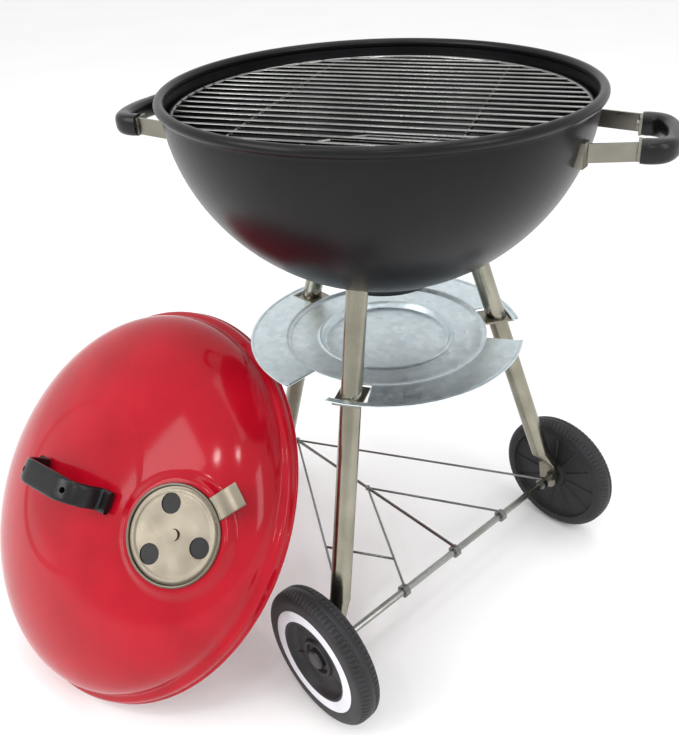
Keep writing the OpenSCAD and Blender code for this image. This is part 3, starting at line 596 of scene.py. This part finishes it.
combine(damper, moved(pegs(3, LID_VENT_PLACE, LID_VENT_R, -12, 12, VENT_FIRST)[0], seat_place), vent_faces)
stands_for(damper, "lid_damper_body", "damper_plate", "lid_damper")

# %% [markdown]
# ## Lid handle
# The lid's handle is a moulded strap that arches clear of the hot lid and ends in two flat feet.
# A path of straight runs with rounded bends gives the arch, and a flat rounded section is carried
# along it. The section is widest in the middle, where a hand holds it, and a pit over each foot
# lets the screw in.

# %% Lid handle
HANDLE_HALF, HANDLE_W, HANDLE_T, HANDLE_H, HANDLE_FOOT, HANDLE_TURN = 66.0, 26.0, 7.0, 44.0, 20.0, 97
SEAT_GAP = 0.05
screw_x = HANDLE_HALF - HANDLE_FOOT / 2
seat_z = float(dome(screw_x - HANDLE_FOOT / 2)) + SEAT_GAP
low, high = seat_z + HANDLE_T / 2, seat_z + HANDLE_H - HANDLE_T / 2
bends = [(-HANDLE_HALF, low), (-HANDLE_HALF + 15, low), (-HANDLE_HALF + 19, high), (HANDLE_HALF - 19, high),
         (HANDLE_HALF - 15, low), (HANDLE_HALF, low)]
line = rounded(bends, [6, 25, 25, 6], 14)
arch = np.stack([line[:, 0], 0 * line[:, 0], line[:, 1]], -1)
swell = 1 - 0.1 * smooth((np.abs(line[:, 0]) - 20) / 25)
handle_points, handle_faces = carried(rounded_box(HANDLE_W, HANDLE_T, 4, 40), arch, (0, 0, 1),
                                      np.stack([swell, 0 * swell + 1], -1))
handle_place = lid_place @ turned(HANDLE_TURN, "Z")
handle = make_piece("lid_handle_strap", moved(handle_points, handle_place), handle_faces, grip_phenolic,
                    50, True)
PIT_X, PIT_LEAN = 35.0, 17
for side in (-1, 1):
    pit_points, pit_faces = pegs(1, 0, 3.2, -2, 12, 0)
    pit_place = (handle_place @ Matrix.Translation((side * PIT_X, 0, high - 3.4))
                 @ turned(side * PIT_LEAN, "Y"))
    combine(handle, moved(pit_points, pit_place), pit_faces)
stands_for(handle, "lid_body", "handle_plastic", "lid_handle")

# %% [markdown]
# ## Wheels
# A wheel is blow moulded in one piece: a tyre with ribs, a white ring pressed into its side, and a
# sunken disc round the hub. It is a turned shape whose height also depends on the angle. Grooves
# are cut into the tyre's shoulders and ribs raised on the discs by moving points of the same grid.
# Six grid columns make one groove and its land, so that the pattern stays crisp.

# %% Wheels
WHEEL_R, WHEEL_W, BORE_R, HUB_R, RING_IN, RING_OUT, RING_T = 78.0, 28.0, 4.05, 17.0, 46.8, 59.28, 1.5
HALF_W, GROOVES, GROOVE_SHARE, TREAD_FROM = WHEEL_W / 2, 84, 6, 70
GROOVE_DEPTH, CHANNEL_DEPTH, OUTER_RIB, INNER_RIB = 1.1, 0.9, 2.2, 1.6


def wheel_place(hub_joint, tip):
    """The wheel's own frame: its middle at the joint, its Z along the axle and away from the grill."""
    at = Vector(next(j for j in frame["joints"] if j["name"] == hub_joint)["pos_m"]) / MM
    return Matrix.Translation(at) @ turned(60, "Z") @ turned(tip, "Y")


def tyre_line():
    """From the inner side over the tread to the outer side: r = 65 + 13 cos^(2/p) t, z = 14 sin^(2/p) t."""
    t = np.radians(np.linspace(-88, 88, 45))
    return np.stack([WHEEL_R - 13 + 13 * np.cos(t) ** (2 / 2.9),
                     HALF_W * np.sign(np.sin(t)) * np.abs(np.sin(t)) ** (2 / 2.9)], -1)


def wheel(name, hub_joint, tip):
    """A turned wheel whose points then move: inwards in the grooves, and up or down on the ribs."""
    back = rounded([(BORE_R, -HALF_W), (HUB_R, -HALF_W), (HUB_R + 1.5, -HALF_W + 6), (61.5, -HALF_W + 6),
                    (63, -HALF_W), (64.5, -HALF_W)], [1, 1.5, 1.5, 0.7], 4)
    front = rounded([(RING_OUT + 3, HALF_W), (RING_OUT, HALF_W), (RING_OUT, HALF_W - RING_T),
                     (RING_IN, HALF_W - RING_T), (RING_IN, HALF_W), (44.5, HALF_W), (41.5, HALF_W - 6),
                     (36, HALF_W - 9), (22, HALF_W - 9), (20.5, HALF_W - 5), (17.5, HALF_W - 5),
                     (HUB_R - 1, HALF_W - 9), (BORE_R, HALF_W - 9)],
                    [0.5, 0.2, 0.2, 0.5, 1.5, 2, 3, 1, 1, 1, 0.3], 4)
    points, faces = spun(np.concatenate([back, tyre_line(), front]), GROOVES * GROOVE_SHARE)
    r, z = np.hypot(points[..., 0], points[..., 1]), points[..., 2]
    t = np.arctan2(points[..., 1], points[..., 0])
    tread = r > TREAD_FROM
    groove = (np.arange(points.shape[1]) % GROOVE_SHARE < 2)[None, :]
    shoulder = smooth((np.abs(z) - 4.2) / 0.8) * smooth((12.6 - np.abs(z)) / 1.2) * tread
    channel = np.exp(-((np.abs(z) - 3.4) / 0.7) ** 2) * tread
    cut = GROOVE_DEPTH * groove * shoulder + CHANNEL_DEPTH * channel
    points[..., 0] -= cut * np.cos(t)
    points[..., 1] -= cut * np.sin(t)
    outer_ribs = np.exp(-((np.sin(3 * t) / 0.12) ** 2)) * smooth((r - 22.5) / 2) * smooth((40 - r) / 4)
    inner_ribs = np.exp(-((np.sin(6 * t) / 0.1) ** 2)) * smooth((r - 18.6) / 1) * smooth((62 - r) / 1)
    points[..., 2] += np.where(z > 0, OUTER_RIB * outer_ribs, -INNER_RIB * inner_ribs)
    return make_piece(name, moved(points, wheel_place(hub_joint, tip)), faces, wheel_plastic, 38)


def wheel_ring(name, hub_joint, tip):
    """A flat ring with a low crown and soft edges."""
    low, high = HALF_W - RING_T, HALF_W + 0.2
    crown = rounded([(RING_OUT, low), (RING_OUT, high - 0.3), (RING_OUT - 1.2, high), (53, high + 0.3),
                     (RING_IN + 1.2, high), (RING_IN, high - 0.3), (RING_IN, low)], [0.2, 0.5, 3, 0.5, 0.2], 5)
    points, faces = spun(crown, 192)
    return make_piece(name, moved(points, wheel_place(hub_joint, tip)), faces, white_plastic, 60)


for side, tip in (("front", -90), ("right", 90)):
    made = wheel(side + "_wheel_tyre", side + "_wheel_spin", tip)
    stands_for(made, side + "_wheel_body", "wheel_plastic", side + "_wheel")
    band = wheel_ring(side + "_wheel_band", side + "_wheel_spin", tip)
    stands_for(band, side + "_wheel_body", "white_band", side + "_wheel_ring")

# %% [markdown]
# ## Ash tray
# The tray is a pressed disc that hangs on the three legs by hooked notches. It could be cut with
# booleans, but the notches run along circles and radii, so a polar grid with some of its cells
# left out has clean edges. A Solidify modifier gives the sheet its thickness, and a Bevel breaks
# the edges.

# %% Ash tray
TRAY_Z, TRAY_R, TRAY_T, NOTCH_IN, NOTCH_OUT = 342.0, 152.0, 1.2, 112.6, 144.6
radii = np.array([0, 30, 60, 67, 69, 70, 71, 72, 73, 74, 75, 76, 77, 79, 90, 102, 107, 108, 109, 110, 111,
                  NOTCH_IN, 113.6, 116, 124, 134, NOTCH_OUT, 147, 149, 149.8, 150.4, 151, 151.6, TRAY_R])
angles = np.radians(np.arange(360))
well = 6 * smooth((radii - 69) / 5) - 10
bump = 1.5 * np.exp(-((radii - 74.5) / 1.6) ** 2)
step = 4 * smooth((radii - 107) / 6.6)
curl = 1.1 * np.sqrt(np.clip(1 - ((radii - 151) / 1.2) ** 2, 0, 1))
height = TRAY_Z + well + bump + step + curl
tray_points = np.stack([radii[:, None] * np.cos(angles), radii[:, None] * np.sin(angles),
                        height[:, None] + 0 * angles], -1)
tray_faces = grid_faces(len(radii), 360, False, True)
cell_r = (radii[tray_faces[:, 0] // 360] + radii[tray_faces[:, 2] // 360]) / 2
cell_a = tray_faces[:, 0] % 360 + 0.5
keep = np.ones(len(tray_faces), bool)
for leg in (-90, 30, 150):
    past = (cell_a - leg + 180) % 360 - 180
    pocket = (past > -26) & (past < 8) & (cell_r > NOTCH_IN) & (cell_r < NOTCH_OUT)
    mouth = (past > -26) & (past < -8) & (cell_r > NOTCH_OUT)
    keep &= ~(pocket | mouth)
tray_faces = tray_faces[keep]
used, tray_faces = np.unique(tray_faces, return_inverse=True)
tray = make_piece("ash_tray_pressing", tray_points.reshape(-1, 3)[used], tray_faces.reshape(-1, 4),
                  zinc_sheet)
wall = tray.modifiers.new("sheet", "SOLIDIFY")
wall.thickness, wall.offset = TRAY_T * MM, -1
edge = tray.modifiers.new("edge", "BEVEL")
edge.width, edge.segments, edge.limit_method = 0.3 * MM, 1, "ANGLE"
edge.angle_limit = math.radians(60)
stands_for(tray, "ash_tray_body", "galvanised_sheet", "ash_tray")

# %% [markdown]
# ## Side grips
# Each grip is a moulded bar in the shape of a C, screwed to two straps. A half ellipse squared off
# at its ends gives its path. The section is a rounded box that grows a little at the ends, where
# the screws go in. The left grip is the right one turned by half a circle.

# %% Side grips
GRIP_Z, GRIP_BACK, GRIP_BOW, GRIP_HALF = 577.0, 246.1, 29.2, 43.0
phi = np.radians(np.linspace(-90, 90, 73))
grip_path = np.stack([GRIP_BACK + GRIP_BOW * np.cos(phi).clip(1e-9) ** 0.6, GRIP_HALF * np.sin(phi),
                      GRIP_Z + 0 * phi], -1)
ends = smooth((np.abs(np.sin(phi)) - 0.55) / 0.4)[:, None]
tips = np.clip((GRIP_BACK + 3 - grip_path[:, :1]) / 3, 0, 1)
grip_sizes = np.array([17, 19.6]) + ends * [1.8, 2.2] - 0.6 * tips ** 2
grip_points, grip_faces = carried(rounded_box(1, 1, 2.9, 48), grip_path, (0, 0, 1), grip_sizes)
for side, half_turn in (("right", 0), ("left", 180)):
    grip = make_piece(side + "_grip", moved(grip_points, turned(half_turn, "Z")), grip_faces,
                      grip_phenolic, 50, True)
    stands_for(grip, "stand", "handle_plastic", side + "_handle_grip")

# %% [markdown]
# ## The CAD's own pieces
# Tubes, wires, straps, tabs and screws are drawn true in the CAD, so they stay and take a material
# each: nickel on what is seen most, bright wire on the grates and the shelf, zinc on the screws.

# %% Materials of the CAD's pieces
worn = {
    nickel_tube: ("front_leg", "right_leg", "back_leg", "leg_spigots"),
    nickel_strip: ("left_handle_straps", "right_handle_straps", "tray_clips"),
    bright_rod: ("axle", "axle_washers"),
    chrome_wire: ("wire_shelf", "cooking_grid", "charcoal_grate"),
    zinc_screw: ("leg_screws", "handle_screws", "lid_handle_screws"),
    damper_plate: ("bowl_damper_rivet", "lid_damper_rivet"),
    black_enamel: ("grid_brackets", "grate_brackets", "bowl_damper"),
    cap_plastic: ("front_hub_cap", "right_hub_cap"),
    foot_rubber: ("back_foot",),
}
for material, names in worn.items():
    for name in names:
        part = frame["nodes"][name]
        part.data.materials.clear()
        part.data.materials.append(material)
        print(name, "wears", material.name)

# %% [markdown]
# ## Soft edges
# A bevel of a few tenths of a millimetre is enough for an edge to catch the light. A Bevel modifier
# keeps the CAD's mesh as it is and can be changed at any time, which a cut in the mesh could not.

# %% Bevels on sheared and moulded edges
BEVELS = {"left_handle_straps": 0.4, "right_handle_straps": 0.4, "tray_clips": 0.4, "leg_screws": 0.5,
          "handle_screws": 0.5, "lid_handle_screws": 0.5, "bowl_damper": 0.3, "grid_brackets": 0.3,
          "grate_brackets": 0.3, "bowl_damper_rivet": 0.6, "lid_damper_rivet": 0.6, "axle": 0.5}
for name, width in BEVELS.items():
    part = frame["nodes"][name]
    weld = part.modifiers.new("weld", "WELD")
    weld.merge_threshold = 1e-6
    soft = part.modifiers.new("soft_edge", "BEVEL")
    soft.width, soft.segments, soft.limit_method = width * MM, 2, "ANGLE"
    soft.angle_limit = math.radians(50)
print("bevelled:", len(BEVELS))
